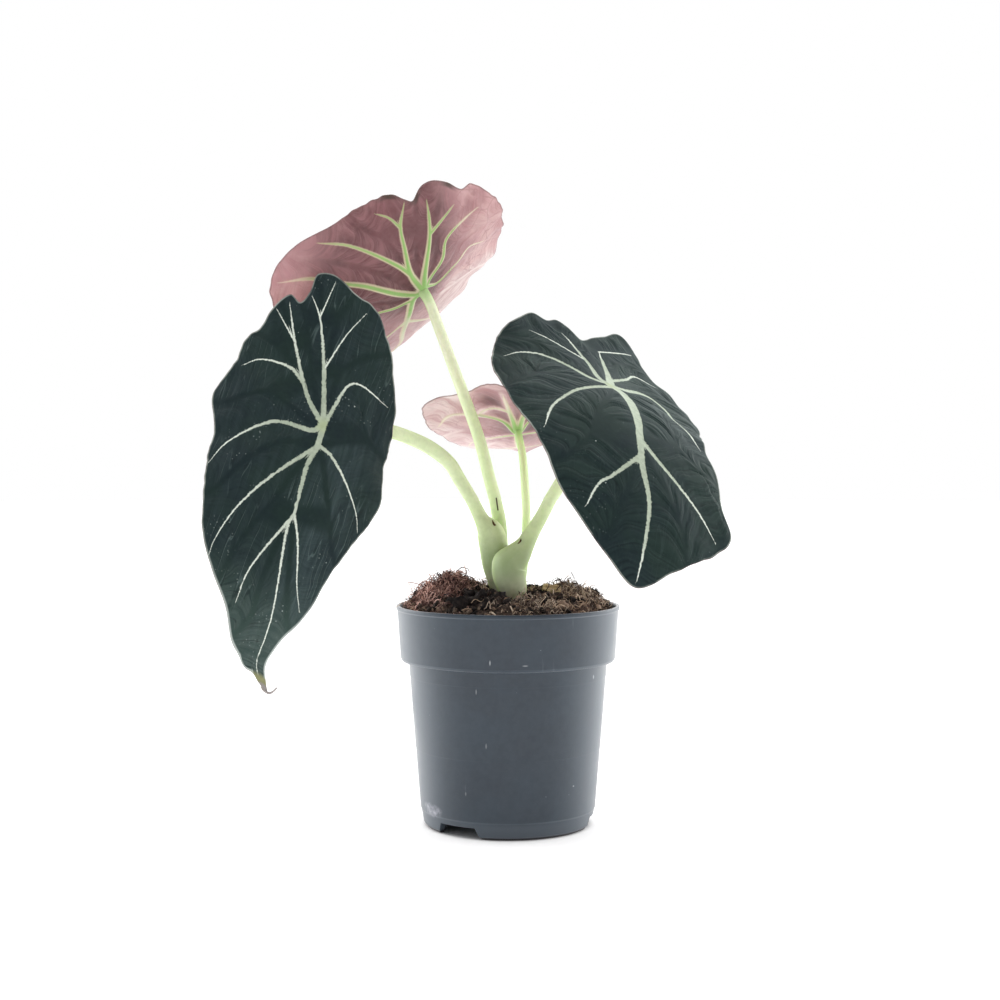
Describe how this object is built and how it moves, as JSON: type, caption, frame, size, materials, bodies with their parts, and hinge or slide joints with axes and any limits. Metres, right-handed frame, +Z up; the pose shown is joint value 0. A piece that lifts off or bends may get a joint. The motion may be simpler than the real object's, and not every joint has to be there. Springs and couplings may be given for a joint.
{
  "type": "potted house plant",
  "caption": "Young black velvet alocasia with dark velvety shield-shaped leaves on pale upright stalks, growing in peat soil in a round plastic nursery pot.",
  "frame": {"origin": "on the surface the pot stands on, under the middle of the whole plant's outer box; the pot's own axis stands at x 0.020 m, y -0.018 m", "axes": "+Z up along the pot's axis, -Y towards the viewer of the picture, +X to that viewer's right"},
  "size_m": [0.2612, 0.2504, 0.3451],
  "materials": {
    "pot_plastic": "semi-matte moulded slate-grey plastic with fine scuffs",
    "soil": "rough brown peat and coir potting mix",
    "root": "dull fibrous root skin",
    "leaf_stalk": "smooth pale green plant skin with a soft sheen",
    "leaf_blade": "dark velvety leaf with pale veins above, mauve with green ribs beneath"
  },
  "bodies": {
    "root": {"pot": "pot_plastic", "soil": "soil", "rootstock": "root", "left_leaf_stalk": "leaf_stalk", "right_leaf_stalk": "leaf_stalk", "top_leaf_stalk": "leaf_stalk", "small_leaf_stalk": "leaf_stalk", "left_leaf_blade": "leaf_blade", "right_leaf_blade": "leaf_blade", "top_leaf_blade": "leaf_blade", "small_leaf_blade": "leaf_blade"}
  },
  "joints": []
}
